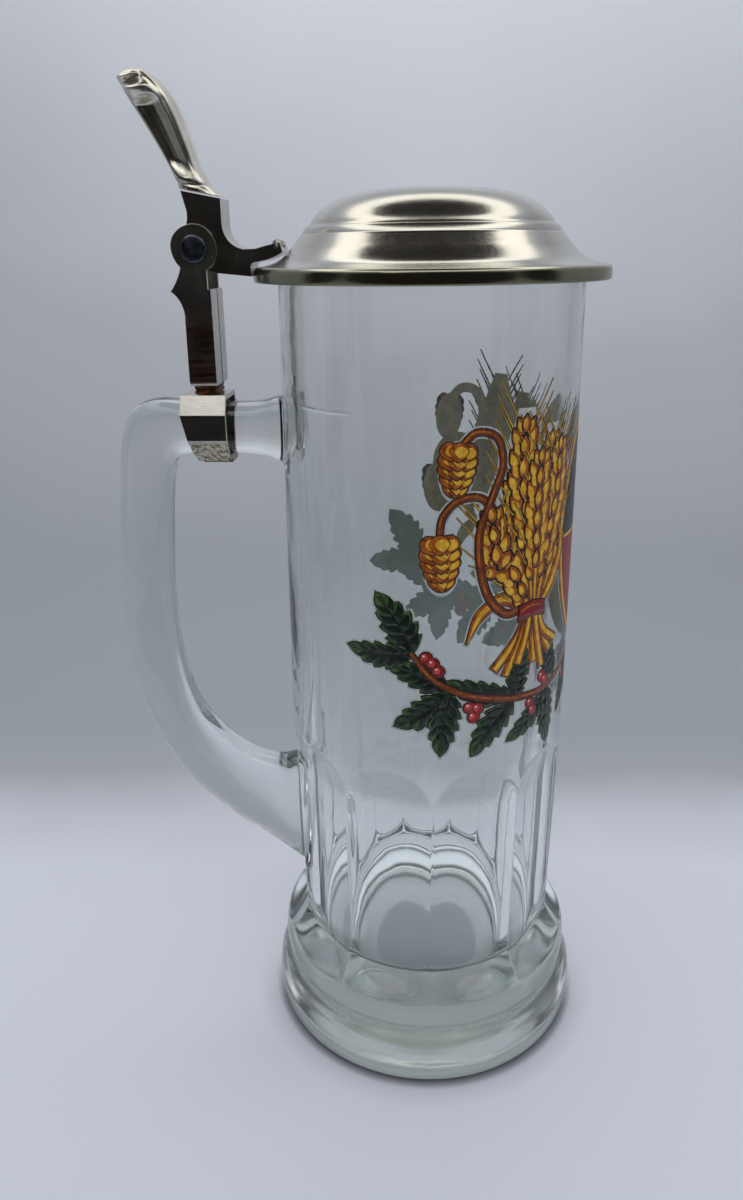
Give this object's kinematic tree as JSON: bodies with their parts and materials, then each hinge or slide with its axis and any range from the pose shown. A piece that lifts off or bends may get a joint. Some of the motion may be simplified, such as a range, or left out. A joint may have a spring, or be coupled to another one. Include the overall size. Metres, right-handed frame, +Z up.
{
  "type": "lidded beer stein",
  "caption": "Clear pressed-glass beer stein with a loop handle, panelled lower wall, thick foot and a hinged domed metal lid worked by a thumb-lift.",
  "frame": {"origin": "centre of the foot's flat underside", "axes": "+Z up along the glass body, -X towards the handle and hinge, Y along the hinge pin"},
  "size_m": [0.108, 0.0752, 0.213],
  "materials": {
    "clear_glass": "clear pressed soda-lime glass with a faint grey-green tint",
    "lid_metal": "satin spun pewter-coloured metal",
    "mount_metal": "polished and lightly worn nickel-coloured metal",
    "braze": "dark oxidised brazing metal"
  },
  "bodies": {
    "stein": {"glass_body": "clear_glass", "glass_handle": "clear_glass", "handle_clamp": "mount_metal", "brazed_foot": "braze", "shank": "mount_metal", "hinge_rivet": "mount_metal"},
    "lid": {"lid_shell": "lid_metal", "lid_bracket": "mount_metal", "thumb_lift": "mount_metal"}
  },
  "joints": [
    {"name": "lid_hinge", "type": "hinge", "parent": "stein", "child": "lid", "pos_m": [-0.0467, 0, 0.1808], "axis": [0, -1, 0], "range_deg": [0, 110]}
  ]
}
